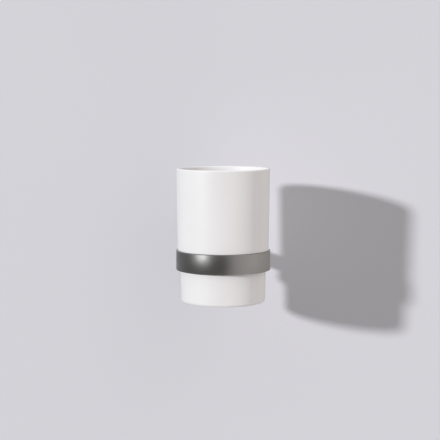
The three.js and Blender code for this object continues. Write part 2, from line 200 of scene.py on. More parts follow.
class StageSettings(bpy.types.PropertyGroup):
    """The plain backdrop, the light and the camera."""

    wall: colour("Wall", "Plain backdrop", (0.765, 0.76, 0.81))
    floor: colour("Floor", "Plain pale floor", (0.80, 0.80, 0.80))
    beyond: colour("Beyond", "Plain tone that the camera sees past the floor", (0.69, 0.69, 0.69))
    floor_depth: length("Floor depth", "How far the floor lies below the ring's middle", 0.42)
    wall_gap: length("Wall gap", "How far the backdrop lies behind the base's back face", 0.0002)
    key_strength: amount("Key strength", "Strength of the key light", 2.34)
    key_size: angle("Key size", "Angular size of the key light", 3.5)
    key_side: angle("Key side", "How far the key light stands to the left of straight in front", 50.3)
    gloss_strength: amount("Gloss strength", "Strength of the light seen as a highlight", 0.77)
    gloss_size: angle("Gloss size", "Angular size of the light seen as a highlight", 22.0)
    gloss_side: angle("Gloss side", "How far that light stands to the left of straight in front", 52.9)
    lamp_tilt: angle("Lamp tilt", "How far both lights are tilted away from straight down", 77.3)
    lamp_tint: colour("Lamp tint", "Colour of both lights", (0.975, 0.99, 1.0))
    overhead: amount("Overhead", "Light added from high up", 0.5)
    bounce: amount("Bounce", "Light added from straight below", 0.4)
    camera_distance: length("Camera distance", "Distance of the camera from the wall", 0.9725)
    camera_height: length("Camera height", "Height of the camera above the ring's middle", 0.1132)
    camera_side: place("Camera side", "Camera's place along X", -0.0024)
    camera_pitch: angle("Camera pitch", "How far the camera looks down", 5.38)
    lens: amount("Lens", "Focal length in millimetres", 98.6)


# Shapes


def rounded(corners, closed=False, guard=0.00012):
    """Points of a path through corners (radius, height, rounding), as an array of (radius, height).

    A corner with a rounding becomes an arc that touches both its sides: its centre lies on the corner's
    bisector, at the rounding divided by the sine of half the angle, and its points are even in angle. Close
    to each end of a straight run one more point is set, so that the shading of an edge stays at that edge.
    """
    spots = np.array([corner[:2] for corner in corners], float)
    count = len(corners)
    runs = []
    for i, corner in enumerate(corners):
        here = spots[i]
        size = corner[2] if len(corner) > 2 else 0.0
        if size <= 0.0 or (not closed and i in (0, count - 1)):
            runs.append(here[None])
            continue
        back = spots[i - 1] - here
        on = spots[(i + 1) % count] - here
        reach = min(np.hypot(*back), np.hypot(*on)) / 2
        back /= np.hypot(*back)
        on /= np.hypot(*on)
        half = math.acos(np.clip(back @ on, -1.0, 1.0)) / 2
        size = min(size, reach * math.tan(half))
        bisector = (back + on) / np.hypot(*(back + on))
        middle = here + bisector * size / math.sin(half)
        spoke = here + back * size / math.tan(half) - middle
        sweep = math.pi - 2 * half
        turn = math.copysign(sweep, on[0] * back[1] - on[1] * back[0])
        steps = max(4, math.ceil(sweep / ARC_STEP))
        turns = np.linspace(0.0, turn, steps + 1)
        runs.append(middle + np.stack([spoke[0] * np.cos(turns) - spoke[1] * np.sin(turns),
                                       spoke[0] * np.sin(turns) + spoke[1] * np.cos(turns)], axis=1))
    path = [runs[0]]
    for before, after in zip(runs, runs[1:] + ([runs[0]] if closed else [])):
        gap = after[0] - before[-1]
        span = np.hypot(*gap)
        if span > 3 * guard:
            path.append(before[-1] + gap / span * np.array([[guard], [span - guard]]))
        path.append(after)
    if closed:
        path.pop()
    return np.concatenate(path)


def angles_with(count, corners=()):
    """Even angles round a full turn, with the angles of any corners of an outline set in among them."""
    even = np.linspace(0.0, 2 * np.pi, count, endpoint=False)
    return np.unique(np.round(np.concatenate([even, np.mod(corners, 2 * np.pi)]), 9))


def lathed(radius, height, angles, closed=False):
    """A shape round the Z axis, as a pair of points and quads.

    Point (i, j) lies at radius[i, j] and height[i, j], turned by angles[j]. The last column meets the first,
    and on a closed profile the last row meets the first too. A row that follows another up the outer side
    gives faces that point outwards.
    """
    shape = np.broadcast_shapes(np.shape(radius), np.shape(height), (1, len(angles)))
    radius = np.broadcast_to(radius, shape)
    height = np.broadcast_to(height, shape)
    points = np.stack([radius * np.cos(angles), radius * np.sin(angles), height], axis=-1).reshape(-1, 3)
    index = np.arange(radius.size).reshape(shape)
    index = np.concatenate([index, index[:1]]) if closed else index
    index = np.concatenate([index, index[:, :1]], axis=1)
    quads = np.stack([index[:-1, :-1], index[:-1, 1:], index[1:, 1:], index[1:, :-1]], axis=-1)
    return points, quads.reshape(-1, 4)


def rows_of(profile):
    """A profile of (radius, height) as rows that don't change with the angle."""
    return profile[:, :1], profile[:, 1:]


def turned(profile, count, closed=False, start=0.0):
    """A plain body of revolution: every point of the profile (radius, height) goes once round the Z axis,
    from this starting angle."""
    return lathed(*rows_of(profile), angles_with(count) + start, closed)


def drill(profile, count=47):
    """A round cutter with this profile."""
    return turned(np.array(profile), count, start=CUTTER_TURN)


def welded(points, quads):
    """Merges equal points, so that seams and poles close; a quad that has lost a side becomes a triangle."""
    _, first, merged = np.unique(np.round(points, 8), axis=0, return_index=True, return_inverse=True)
    quads = merged.reshape(-1)[quads]
    low = quads[:, 0] == quads[:, 1]
    high = quads[:, 2] == quads[:, 3]
    whole = quads[~low & ~high]
    fans = np.concatenate([quads[low & ~high][:, 1:], quads[high & ~low][:, :3]])
    return points[first], whole.tolist() + fans.tolist()


def upright(shape, axis):
    """Moves a shape from its own Z axis to the tumbler's."""
    points, quads = shape
    return points + np.array([0.0, -axis, 0.0]), quads


def level(shape, side=0.0):
    """Lays a shape down, so that its own Z runs out from the wall and its own Y runs up."""
    points, quads = shape
    return np.stack([points[:, 0] + side, -points[:, 2], points[:, 1]], axis=1), quads


def hanging(shape, depth):
    """Turns a shape over, so that its own Z runs straight down from the level axis, at this depth."""
    points, quads = shape
    return np.stack([points[:, 0], -points[:, 1] - depth, -points[:, 2]], axis=1), quads


def grub_depth(sizes):
    """Distance of the grub screw's axis from the wall: half the base's depth."""
    return sizes.base_front / 2


def pair(offset):
    """Names and places of the left and the right of a pair."""
    return ("left", -offset), ("right", offset)


def hexagon(angles, flats):
    """Radius of a hexagon with this width across its flats: half that width over the cosine of the angle
    from the nearest flat's middle."""
    off = np.mod(angles, np.pi / 3) - np.pi / 6
    return flats / 2 / np.cos(off)


def cross(angles, long, wide):
    """Radius of a cross of two bars: the nearer of a bar's end and side, measured from the nearest bar."""
    off = np.abs(np.mod(angles + np.pi / 4, np.pi / 2) - np.pi / 4)
    return np.minimum(long / 2 / np.cos(off), wide / 2 / np.maximum(np.sin(off), 1e-6))


def flat_corners(radius, flat):
    """The four angles at which the two upright flats of a disc end."""
    corner = math.acos(flat / radius)
    return corner, np.pi - corner, np.pi + corner, -corner


def flatted(angles, radius, flat):
    """Radius of a disc with two upright flats: the disc's own, or the flat's distance over the cosine."""
    return np.minimum(radius, flat / np.maximum(np.abs(np.cos(angles)), 1e-6))


def slotted(angles, half_travel, half_width):
    """Radius of a slot with round ends: its straight side where a ray meets that first, and else its end,
    which is a circle whose middle lies half the travel out."""
    cosine = np.abs(np.cos(angles))
    sine = np.abs(np.sin(angles))
    side = half_width / np.maximum(sine, 1e-6)
    end = half_travel * cosine + np.sqrt(np.maximum(half_width**2 - (half_travel * sine)**2, 0.0))
    return np.where(side * cosine <= half_travel, side, end)


def thread(angles, heights, crest, root, pitch):
    """Radius of a screw thread: it rises and falls between root and crest once in each pitch, and its phase
    moves on by one pitch in each turn. The crest is a narrow flat. Crest and root may change with height."""
    peak, slope = 1.15, 2.6
    phase = np.mod(heights[:, None] / pitch - angles[None] / (2 * np.pi), 1.0)
    ridge = np.clip(peak - np.abs(phase - 0.5) * slope, 0.0, 1.0)
    return root + (crest - root) * ridge


def faded(heights, start, end, run):
    """A share that is 1 between start and end and falls smoothly to 0 over a run at each of them."""
    near = np.clip(np.minimum(heights - start, end - heights) / run, 0.0, 1.0)
    return near * near * (3 - 2 * near)


def stacked(*blocks):
    """Joins blocks of rows (radius, height), each of them a pair that may change with the angle."""
    width = max(np.shape(part)[-1] for block in blocks for part in block)
    rows = [[np.broadcast_to(part, (np.shape(part)[0], width)) for part in block] for block in blocks]
    return np.concatenate([row[0] for row in rows]), np.concatenate([row[1] for row in rows])


def column(*values):
    """Values one under another, as rows that don't change with the angle."""
    return np.array(values, float)[:, None]


def shaded(mesh):
    """Makes the faces smooth, and each edge sharp where two faces meet at more than the sharp turn."""
    mesh.shade_smooth()
    mesh.set_sharp_from_angle(angle=SHARP_TURN)


def linked(name, data):
    """A new object in the scene."""
    made = bpy.data.objects.new(name, data)
    bpy.context.scene.collection.objects.link(made)
    return made


def surface(name, shape):
    """A new object in the scene, with a shaded mesh of this shape."""
    points, faces = welded(*shape)
    mesh = bpy.data.meshes.new(name)
    mesh.from_pydata(points.tolist(), [], faces)
    mesh.validate()
    shaded(mesh)
    return linked(name, mesh)


def piece(name, node, body, material, shape):
    """A finished piece that stands for a node of the frame, moves with a body and takes a slot's finish."""
    made = surface(name, shape)
    made.data.materials.append(material)
    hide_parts(node)
    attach(made, body)
    return made


def cut(made, *cutters):
    """Takes each cutter, a closed shape, out of a piece's mesh."""
    tools = [surface("cutter", cutter) for cutter in cutters]
    for tool in tools:
        modifier = made.modifiers.new("cut", "BOOLEAN")
        modifier.operation = "DIFFERENCE"
        modifier.solver = "EXACT"
        modifier.object = tool
    bpy.context.view_layer.update()
    worked = made.evaluated_get(bpy.context.evaluated_depsgraph_get())
    mesh = bpy.data.meshes.new_from_object(worked)
    made.modifiers.clear()
    before = made.data
    mesh.materials.clear()
    for material in before.materials:
        mesh.materials.append(material)
    made.data = mesh
    name = before.name
    bpy.data.meshes.remove(before)
    mesh.name = name
    shaded(mesh)
    for tool in tools:
        shape = tool.data
        bpy.data.objects.remove(tool)
        bpy.data.meshes.remove(shape)


# Materials


def feed(tree, node, inputs):
    """Links each input that is given as a socket, and sets any other."""
    for key, value in inputs.items():
        if isinstance(value, bpy.types.NodeSocket):
            tree.links.new(value, node.inputs[key])
        else:
            node.inputs[key].default_value = value


def add(tree, kind, inputs=None, **settings):
    """A new node of this kind, with these settings and inputs."""
    made = tree.nodes.new(kind)
    made.location = (180 * (len(tree.nodes) % 12), -220 * (len(tree.nodes) // 12))
    for key, value in settings.items():
        setattr(made, key, value)
    feed(tree, made, inputs or {})
    return made


def split(tree, vector):
    """The X, Y and Z of a vector."""
    return add(tree, "ShaderNodeSeparateXYZ", {0: vector}).outputs


def joined(tree, *values):
    """A vector of two or three values."""
    return add(tree, "ShaderNodeCombineXYZ", dict(enumerate(values))).outputs[0]


def distance(tree, across, along):
    """The length of a flat vector with these two parts."""
    flat = joined(tree, across, along)
    return add(tree, "ShaderNodeVectorMath", {0: flat}, operation="LENGTH").outputs["Value"]


def math_node(tree, operation, *values):
    """The result of one sum on a few values or sockets."""
    return add(tree, "ShaderNodeMath", dict(enumerate(values)), operation=operation).outputs[0]


def ranged(tree, value, low, high, to_low=0.0, to_high=1.0):
    """A value taken smoothly from one range to another, and held at its ends."""
    inputs = {"Value": value, "From Min": low, "From Max": high, "To Min": to_low, "To Max": to_high}
    return add(tree, "ShaderNodeMapRange", inputs, interpolation_type="SMOOTHSTEP").outputs["Result"]


def about(tree, mask, middle, spread):
    """A value that a mask takes from a little under a middle to a little over it."""
    return ranged(tree, mask, 0.0, 1.0, middle - spread, middle + spread)


def mixed(tree, factor, first, second):
    """A colour between two others."""
    return add(tree, "ShaderNodeMix", {0: factor, 6: first, 7: second}, data_type="RGBA").outputs[2]


def opaque(rgb):
    """A colour with full alpha."""
    return (*rgb, 1.0)


def new_group(name, inputs, outputs):
    """An empty shader group with these named sockets, and its two end nodes; most sockets are numbers."""
    tree = bpy.data.node_groups.new(name, "ShaderNodeTree")
    for in_out, sockets in (("INPUT", inputs), ("OUTPUT", outputs)):
        for socket in sockets:
            kind = SOCKET_KINDS.get(socket, "NodeSocketFloat")
            tree.interface.new_socket(socket, in_out=in_out, socket_type=kind)
    return tree, add(tree, "NodeGroupInput").outputs, add(tree, "NodeGroupOutput").inputs


def noise(tree, where, scale, detail, rough=0.5):
    """Soft noise about a half."""
    inputs = {"Vector": where, "Scale": scale, "Detail": detail, "Roughness": rough}
    return add(tree, "ShaderNodeTexNoise", inputs).outputs[0]


def mottle_group():
    """Slow blotches between two colours, from two layers of noise of different size."""
    tree, given, out = new_group(
        "surface_mottle", ("Coordinates", "Scale", "Amount", "Colour", "Second Colour"), ("Colour",))
    times_finer, weight = 5.3, 0.35
    slow = noise(tree, given["Coordinates"], given["Scale"], detail=3.0, rough=0.55)
    finer = math_node(tree, "MULTIPLY", given["Scale"], times_finer)
    quick = noise(tree, given["Coordinates"], finer, detail=2.0)
    both = math_node(tree, "MULTIPLY_ADD", quick, weight, slow)
    mask = math_node(tree, "MULTIPLY", ranged(tree, both, low=0.5, high=0.86), given["Amount"])
    tree.links.new(mixed(tree, mask, given["Colour"], given["Second Colour"]), out["Colour"])
    return tree


def grain_group():
    """Fine even grain, as height and as a mask: noise over a layer of small cells."""
    tree, given, out = new_group("fine_grain", ("Coordinates", "Scale", "Cells"), ("Height", "Mask"))
    fine = noise(tree, given["Coordinates"], given["Scale"], detail=2.0, rough=0.6)
    cells = add(tree, "ShaderNodeTexVoronoi", {"Vector": given["Coordinates"], "Scale": given["Scale"]})
    pits = math_node(tree, "MULTIPLY", cells.outputs["Distance"], given["Cells"])
    tree.links.new(math_node(tree, "SUBTRACT", fine, pits), out["Height"])
    tree.links.new(ranged(tree, fine, low=0.35, high=0.65), out["Mask"])
    return tree


def turned_group():
    """Fine lines left by turning: noise that is dense along the radius and the axis and long round the turn.
    The coordinates have the turning axis on Z."""
    tree, given, out = new_group("turned_lines", ("Coordinates", "Lines"), ("Height", "Mask"))
    lines_round = 2.2
    axes = split(tree, given["Coordinates"])
    across = math_node(tree, "MULTIPLY", distance(tree, axes[0], axes[1]), given["Lines"])
    along = math_node(tree, "MULTIPLY", axes[2], given["Lines"])
    bearing = math_node(tree, "ABSOLUTE", math_node(tree, "ARCTAN2", axes[1], axes[0]))
    where = joined(tree, across, math_node(tree, "MULTIPLY", bearing, lines_round), along)
    lines = noise(tree, where, 1.0, detail=3.0, rough=0.6)
    tree.links.new(lines, out["Height"])
    tree.links.new(ranged(tree, lines, low=0.4, high=0.62), out["Mask"])
    return tree


def edge_shade_group():
    """Painted shade along an edge: strongest at the edge, gone at the width, and a little uneven with noise.
    """
    tree, given, out = new_group("painted_edge_shade", ("Coordinates", "Distance", "Width"), ("Mask",))
    part = math_node(tree, "DIVIDE", given["Distance"], given["Width"])
    near = ranged(tree, part, low=0.0, high=1.0, to_low=1.0, to_high=0.0)
    spots = noise(tree, given["Coordinates"], 900.0, detail=3.0)
    uneven = ranged(tree, spots, low=0.3, high=0.6, to_low=0.65, to_high=1.0)
    tree.links.new(math_node(tree, "MULTIPLY", near, uneven), out["Mask"])
    return tree


EFFECTS = {
    "surface_mottle": mottle_group,
    "fine_grain": grain_group,
    "turned_lines": turned_group,
    "painted_edge_shade": edge_shade_group,
}


def effect(tree, name, inputs):
    """The outputs of a shared effect with its own values here; its group is built when first asked for."""
    shared = bpy.data.node_groups.get(name) or EFFECTS[name]()
    return add(tree, "ShaderNodeGroup", inputs, node_tree=shared).outputs


def mottled(tree, where, colours, scale, amount):
    """A colour in slow blotches of two tones."""
    return effect(tree, "surface_mottle", {
        "Coordinates": where, "Scale": scale, "Amount": amount,
        "Colour": opaque(colours[0]), "Second Colour": opaque(colours[1])})["Colour"]


def grained(tree, where, scale, cells):
    """The height and mask of a fine grain."""
    return effect(tree, "fine_grain", {"Coordinates": where, "Scale": scale, "Cells": cells})


def new_material(name):
    """An empty material: its tree, its shader and the piece's own coordinates."""
    material = bpy.data.materials.new(name)
    material.use_nodes = True
    tree = material.node_tree
    return material, tree, tree.nodes["Principled BSDF"], add(tree, "ShaderNodeTexCoord").outputs["Object"]


def bumped(tree, height, depth, normal=None):
    """The normal of a surface raised by a height times a depth, over another normal where one is given."""
    inputs = {"Height": height, "Distance": depth, "Strength": 1.0}
    if normal is not None:
        inputs["Normal"] = normal
    return add(tree, "ShaderNodeBump", inputs).outputs["Normal"]


def glaze_material(sizes, finishes):
    """Satin white glaze with a faint orange peel; the ring that the foot stands on is bare and gritty."""
    material, tree, shader, where = new_material("satin_glaze")
    bare_height, glazed_height, clay_rough = 0.00015, 0.0005, 0.4
    peel_depth, grit_depth = 0.000012, 0.00004
    height = split(tree, where)[2]
    bare = ranged(tree, height, sizes.foot + bare_height, sizes.foot + glazed_height, to_low=1.0, to_high=0.0)
    tone = mottled(tree, where, (finishes.glaze, finishes.glaze_shade), scale=36.0, amount=0.6)
    peel = grained(tree, where, scale=520.0, cells=0.0)
    grit = grained(tree, where, scale=3200.0, cells=0.5)
    clay = mixed(tree, grit["Mask"], opaque(finishes.bisque), opaque(finishes.glaze_shade))
    satin = about(tree, peel["Mask"], finishes.glaze_satin, spread=0.03)
    gritty = math_node(tree, "MULTIPLY", grit["Height"], bare)
    feed(tree, shader, {
        "Base Color": mixed(tree, bare, tone, clay),
        "Roughness": math_node(tree, "MULTIPLY_ADD", bare, clay_rough, satin),
        "Normal": bumped(tree, gritty, grit_depth, bumped(tree, peel["Height"], peel_depth)),
        "Specular IOR Level": 0.9,
    })
    return material


def gunmetal_material(name, finishes, edge, turn=(0.0, 0.0, 0.0), shift=(0.0, 0.0, 0.0), crown=None):
    """Dark satin coating over turned metal: faint lines round the axis, slow changes of tone, and painted
    shade, a darker tone along edges. The edge gives the distance from the nearest edge. The turn and shift
    bring the piece's axis to Z, and the crown is a height that the polishing seems to have left."""
    material, tree, shader, where = new_material(name)
    line_depth, edge_shade_width = 0.00000025, 0.0006
    mapping = {"Vector": where, "Rotation": turn, "Location": shift}
    centred = add(tree, "ShaderNodeMapping", mapping).outputs[0]
    tone = mottled(tree, where, (finishes.gunmetal, finishes.gunmetal_shade), scale=60.0, amount=0.7)
    lines = effect(tree, "turned_lines", {"Coordinates": centred, "Lines": 5200.0})
    # Painted shade: the colour is darkened along the edges
    painted_edges = effect(tree, "painted_edge_shade", {
        "Coordinates": where, "Distance": edge(tree, centred), "Width": edge_shade_width})
    normal = bumped(tree, lines["Height"], line_depth)
    if crown is not None:
        normal = bumped(tree, crown(tree, centred), 1.0, normal)
    feed(tree, shader, {
        "Base Color": mixed(tree, painted_edges["Mask"], tone, opaque(finishes.gunmetal_painted_edge_shade)),
        "Roughness": about(tree, lines["Mask"], finishes.satin, spread=0.012),
        "Metallic": 1.0,
        "Normal": normal,
    })
    return material


def grained_material(name, colours, metallic, satin, grain, depth, cells, blotch):
    """A finish with fine grain: two tones in blotches, and a roughness and height that follow the grain."""
    material, tree, shader, where = new_material(name)
    fine = grained(tree, where, grain, cells)
    feed(tree, shader, {
        "Base Color": mottled(tree, where, colours, blotch, amount=1.0),
        "Roughness": ranged(tree, fine["Mask"], 0.0, 1.0, satin[0], satin[1]),
        "Metallic": metallic,
        "Normal": bumped(tree, fine["Height"], depth),
    })
    return material


def steel_material(finishes):
    """Bright plated steel, shared by all screws and washers."""
    return bpy.data.materials.get("plated_steel") or grained_material(
        "plated_steel", (finishes.steel, finishes.steel_shade), metallic=1.0, satin=(0.24, 0.36),
        grain=2400.0, depth=0.000003, cells=0.2, blotch=320.0)


def backdrop_material(name, rgb):
    """A plain matt backdrop that shows from its front only, so the object can be seen from behind it."""
    material, tree, shader, _ = new_material(name)
    feed(tree, shader, {"Base Color": opaque(rgb), "Roughness": 0.95, "Specular IOR Level": 0.1})
    behind = add(tree, "ShaderNodeNewGeometry").outputs["Backfacing"]
    clear = add(tree, "ShaderNodeBsdfTransparent").outputs[0]
    both = add(tree, "ShaderNodeMixShader", {0: behind, 1: shader.outputs[0], 2: clear}).outputs[0]
    tree.links.new(both, tree.nodes["Material Output"].inputs["Surface"])
    return material


# Screws


def threaded(angles, start, end, crest, root, pitch, run):
    """Rows of a threaded shank, ten to each pitch; the thread fades out over a run at both ends."""
    heights = np.linspace(start, end, max(4, math.ceil((end - start) / pitch * 10)))
    height = heights[:, None]
    fading = root + (crest - root) * faded(height, start, end, run)
    return thread(angles, heights, fading, root, pitch), height


def hex_socket(angles, rim, depth, flats, bevel, down=True):
    """Rows of a hex socket with a bevelled rim: its outline from the rim to the floor, and a drilled point.
    It goes down from the rim, or else up."""
    outline = hexagon(angles, flats)[None]
    step = -1.0 if down else 1.0
    floor = rim + step * depth
    return (np.concatenate([outline + bevel, outline, outline, 0.0 * outline]),
            column(rim, rim + step * bevel, floor, floor + step * 3 * bevel))


def ring_screw_shape():
    """A countersunk screw with a hex socket; heights are distances from the wall."""
    angles = angles_with(count=48)
    tip, top, head, crest, root = 0.0412, 0.0492, 0.00374, 0.00198, 0.0016
    chamfer, neck, head_depth, land, head_edge = 0.0003, 0.0021, 0.002, 0.0001, 0.00012
    start = (column(0.0, root - chamfer, root), column(tip, tip, tip + chamfer))
    shank = threaded(angles, tip + chamfer, top - neck, crest, root, pitch=0.0007, run=0.0006)
    cone = (column(root + 2 * land, head, head, head - head_edge),
            column(top - head_depth, top - 2 * land, top - land, top))
    recess = hex_socket(angles, top, depth=0.0014, flats=0.0025, bevel=land)
    return lathed(*stacked(start, shank, cone, recess), angles)


def post_screw_shape():
    """A button-head screw with a hex socket that opens towards the wall; heights are distances from it."""
    angles = angles_with(count=48)
    back, seat, tip, head, crest, root = 0.00375, 0.0065, 0.0165, 0.00472, 0.00248, 0.00206
    mouth, dome_fillet, edge, gap, lead, chamfer = 0.0022, 0.0026, 0.0001, 0.0002, 0.0004, 0.0003
    recess = hex_socket(angles, back, depth=0.0016, flats=0.003, bevel=edge, down=False)
    dome = rounded([(mouth, back), (head, back, dome_fillet), (head, seat, edge), (crest, seat)])
    shank = threaded(angles, seat + gap, tip - lead, crest, root, pitch=0.0008, run=0.0008)
    end = (column(root, root - chamfer, 0.0), column(tip - chamfer, tip, tip))
    return lathed(*stacked([rows[::-1] for rows in recess], rows_of(dome), shank, end), angles)


def grub_screw_shape():
    """A grub screw with a cone point and a hex socket; heights are distances from the level axis."""
    angles = angles_with(count=48)
    tip, top, crest, root, point = 0.0182, 0.02163, 0.00148, 0.00122, 0.0004
    cone_depth, lead, edge = 0.00095, 0.0011, 0.0001
    cone = (column(0.0, point, root), column(tip, tip, tip + cone_depth))
    shank = threaded(angles, tip + lead, top - edge, crest, root, pitch=0.0005, run=0.0003)
    rim = (column(root, root - edge), column(top - edge, top))
    recess = hex_socket(angles, top, depth=0.0014, flats=0.0015, bevel=0.00006)
    return lathed(*stacked(cone, shank, rim, recess), angles)


def wall_screw_shape(tip):
    """A pan-head wood screw with a cross recess; heights are distances out from the wall. The core narrows to
    nothing over the point, and the thread runs on nearly to the tip."""
    seat, front, head, crest, root, neck = 0.0034, 0.0057, 0.00378, 0.00198, 0.00138, 0.0017
    shank_end, neck_start, neck_full, neck_end = seat - 0.0045, seat - 0.0044, seat - 0.004, seat - 0.0015
    point, blunt, past, run, pitch = 0.0062, 0.0002, 0.0008, 0.0012, 0.0018
    least, taper, quicker, rows = 0.03, 0.8, 1.25, 230
    head_foot, head_edge, head_dome, mouth = 0.0018, 0.0002, 0.0022, 0.0024
    long, wide, recess, lip, bevel = 0.0042, 0.0011, 0.0013, 0.00012, 0.0001
    arm = math.atan2(wide, long)
    quarter = np.pi / 2 * np.arange(4)
    angles = angles_with(48, corners=np.concatenate([quarter + arm, quarter - arm]))
    pole = (column(0.0), column(-tip))
    heights = np.linspace(-tip + blunt, shank_end, rows)
    height = heights[:, None]
    narrow = np.clip((height + tip) / point, least, 1.0) ** taper
    core = root * narrow
    ridge = (crest - root) * np.minimum(narrow * quicker, 1.0) * faded(height, -tip - past, shank_end, run)
    spiral = (thread(angles, heights, core + ridge, core, pitch), height)
    plain = (column(root + bevel, neck - bevel, neck, neck), column(neck_start, neck_full, neck_end, seat))
    dome = rounded([(head_foot, seat), (head, seat, head_edge), (head, front, head_dome), (mouth, front)])
    outline = cross(angles, long, wide)[None]
    dome_top = dome[::-1][:12]
    top = np.interp(outline, dome_top[:, 0], dome_top[:, 1])
    floor = np.full_like(top, front - recess)
    hollow = (np.concatenate([outline + lip, outline, 0.8 * outline, 0.0 * outline]),
              np.concatenate([top, top - bevel, floor, floor - 3 * bevel]))
    return lathed(*stacked(pole, spiral, plain, rows_of(dome), hollow), angles)


# Operators


class HOLDER_OT_tumbler(bpy.types.Operator):
    """Make the white tumbler, which hangs by its shoulder"""

    bl_idname = "holder.tumbler"
    bl_label = "Tumbler"

    def execute(self, context):
        s = context.scene.tumbler_sizes
        hollow = s.foot_radius - s.foot_ring
        hollow_edge, ring_edge, seat_edge = 0.0005, 0.0004, 0.0002
        profile = rounded([
            (0.0, s.foot + s.foot_hollow),
            (hollow, s.foot + s.foot_hollow, hollow_edge),
            (hollow + s.foot_hollow, s.foot, ring_edge),
            (s.foot_radius, s.foot, s.foot_fillet),
            (s.collar_radius, s.seat, seat_edge),
            (s.shoulder_radius, s.seat, s.shoulder_fillet),
            (s.rim_radius, s.rim, s.lip_fillet),
            (s.rim_radius - s.wall, s.rim, s.lip_fillet),
            (s.shoulder_radius - s.wall, s.seat + s.inside_step, s.inside_fillet),
            (s.collar_radius - s.wall, s.seat - s.inside_step, s.inside_fillet),
            (s.foot_radius - s.wall, s.foot + s.floor, s.inside_fillet),
            (0.0, s.foot + s.floor),
        ])
        material = glaze_material(s, context.scene.holder_finishes)
        piece("tumbler_shell", "tumbler", "tumbler", material,
              upright(turned(profile, count=192), s.axis))
        return {"FINISHED"}


class HOLDER_OT_ring(bpy.types.Operator):
    """Make the flat metal ring, with the hole for its screw"""

    bl_idname = "holder.ring"
    bl_label = "Ring"

    def execute(self, context):
        s = context.scene.ring_sizes
        axis = context.scene.tumbler_sizes.axis
        bore = s.radius - s.wall
        ledge = s.ledge_height - s.half_height
        inner_edge, ledge_edge = 0.0003, 0.0002
        profile = rounded([
            (bore - s.ledge_width, -s.half_height, ledge_edge),
            (s.radius, -s.half_height, s.edge),
            (s.radius, s.half_height, s.edge),
            (bore, s.half_height, inner_edge),
            (bore, ledge),
            (bore - s.ledge_width, ledge, ledge_edge),
        ], closed=True)

        def edge(tree, centred):
            """Distance from the upper or lower edge: half the height less the height's size."""
            height = math_node(tree, "ABSOLUTE", split(tree, centred)[2])
            return math_node(tree, "SUBTRACT", s.half_height, height)

        def crown(tree, centred):
            """A height that falls with the square of the distance from the ring's middle."""
            part = math_node(tree, "DIVIDE", split(tree, centred)[2], s.half_height)
            return math_node(tree, "MULTIPLY", math_node(tree, "MULTIPLY", part, part), -s.crown)

        material = gunmetal_material("gunmetal_ring", context.scene.holder_finishes, edge,
                                     shift=(0.0, axis, 0.0), crown=crown)
        made = piece("ring_band", "ring", "holder", material,
                     upright(turned(profile, count=192, closed=True), axis))
        hole, sink = 0.0023, 0.00405
        start, sink_start, sink_end, end = 0.0402, 0.0472, 0.0492, 0.0502
        cut(made, level(drill([(0.0, start), (hole, start), (hole, sink_start), (sink, sink_end), (sink, end),
                               (0.0, end)])))
        return {"FINISHED"}


class HOLDER_OT_insert(bpy.types.Operator):
    """Make the plastic sleeve inside the ring"""

    bl_idname = "holder.insert"
    bl_label = "Ring insert"

    def execute(self, context):
        s = context.scene.ring_sizes
        finishes = context.scene.holder_finishes
        bore = s.insert_radius - s.insert_wall
        low_edge, high_edge = 0.0002, 0.0003
        profile = rounded([
            (bore, INSERT_LOW.z, low_edge),
            (s.insert_radius, INSERT_LOW.z, low_edge),
            (s.insert_radius, INSERT_HIGH.z, high_edge),
            (bore, INSERT_HIGH.z, high_edge),
        ], closed=True)
        material = grained_material(
            "insert_plastic", (finishes.sleeve, finishes.sleeve_shade), metallic=0.0, satin=(0.5, 0.66),
            grain=1800.0, depth=0.000012, cells=0.3, blotch=90.0)
        piece("insert_sleeve", "ring_insert", "holder", material,
              upright(turned(profile, count=160, closed=True), context.scene.tumbler_sizes.axis))
        return {"FINISHED"}


class HOLDER_OT_post(bpy.types.Operator):
    """Make the round post, with a flatted spigot behind and a saddle against the ring in front"""

    bl_idname = "holder.post"
    bl_label = "Post"

    def execute(self, context):
        s = context.scene.ring_sizes
        axis = context.scene.tumbler_sizes.axis
        angles = angles_with(96, corners=flat_corners(s.spigot_radius, s.spigot_flat))
        bore, bore_end, bore_point = 0.0028, 0.0185, 0.0014
        hole, hole_start, hole_end, hole_point = 0.0023, 0.0468, 0.0392, 0.0012
        edge, shoulder_edge, half_way, saddle_rows = 0.0003, 0.0004, 0.03, 7

        def saddle(radius):
            """Distance from the wall of a cylinder about the ring's axis: that axis less the root of its
            squared radius less the squared distance across."""
            return axis - np.sqrt((s.radius + s.saddle_gap) ** 2 - (radius * np.cos(angles)) ** 2)

        spigot = flatted(angles, s.spigot_radius, s.spigot_flat)[None]
        behind = (column(0.0, bore, bore, bore + edge),
                  column(bore_end + bore_point, bore_end, s.spigot_back + edge, s.spigot_back))
        end = (np.concatenate([spigot - edge, spigot, spigot]),
               column(s.spigot_back, s.spigot_back + edge, s.post_back))
        bar = rounded([(s.spigot_radius + shoulder_edge, s.post_back),
                       (s.post_radius, s.post_back, shoulder_edge), (s.post_radius, half_way)])
        inwards = np.concatenate([column(s.post_radius, s.post_radius - edge / 3),
                                  np.linspace(s.post_radius - edge, hole + edge, saddle_rows)[:, None]])
        drop = np.concatenate([column(edge, edge / 3), np.zeros((saddle_rows, 1))])
        front = (inwards, saddle(inwards) - drop)
        drilled = (column(hole, hole, 0.0), column(hole_start, hole_end, hole_end - hole_point))
        shape = lathed(*stacked(behind, end, rows_of(bar), front, drilled), angles)

        def rear(tree, centred):
            """Distance from the post's rear shoulder, along its axis."""
            return math_node(tree, "SUBTRACT", split(tree, centred)[2], s.post_back)

        material = gunmetal_material("gunmetal_post", context.scene.holder_finishes, rear, turn=LEVEL_TO_Z)
        piece("post_bar", "post", "holder", material, level(shape))
        return {"FINISHED"}


